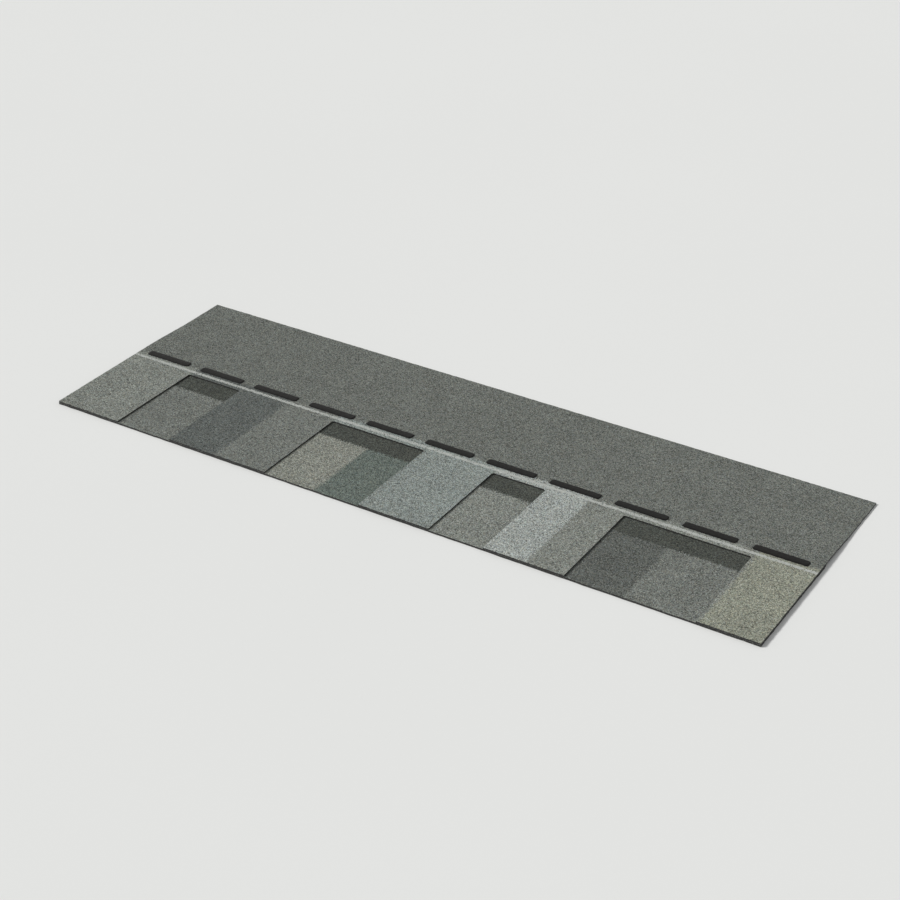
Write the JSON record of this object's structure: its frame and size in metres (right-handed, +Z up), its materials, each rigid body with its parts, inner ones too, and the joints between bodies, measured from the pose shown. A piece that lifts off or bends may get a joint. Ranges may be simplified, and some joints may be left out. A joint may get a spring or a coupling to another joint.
{
  "type": "laminated asphalt shingle",
  "caption": "Flat strip of bonded granule-coated asphalt sheets with a toothed lower edge, a dashed sealant line and a release film, laid in courses to cover a pitched roof.",
  "frame": {"origin": "centre of the shingle's bounding box, on the level floor that it lies on", "axes": "+X along the butt edge to the right seen from the eaves, +Y up the slope from the butt edge to the headlap's top edge, +Z up through the granule face, away from the roof deck"},
  "size_m": [1, 0.337, 0.006],
  "materials": {
    "overlay_granules": "mineral granules in patches of greenish grey, slate, blue-green, pale grey and olive on asphalt, matte",
    "backer_granules": "mineral granules in patches of warm grey, green and darker greys, with a dark shadow band, on asphalt, matte",
    "sealant_asphalt": "black polymer-modified asphalt, satin",
    "film": "clear polyester film pressed into asphalt, glossy"
  },
  "bodies": {
    "root": {"overlay_sheet": "overlay_granules", "backer_strip": "backer_granules", "sealant_dashes": "sealant_asphalt", "release_film": "film"}
  },
  "joints": []
}
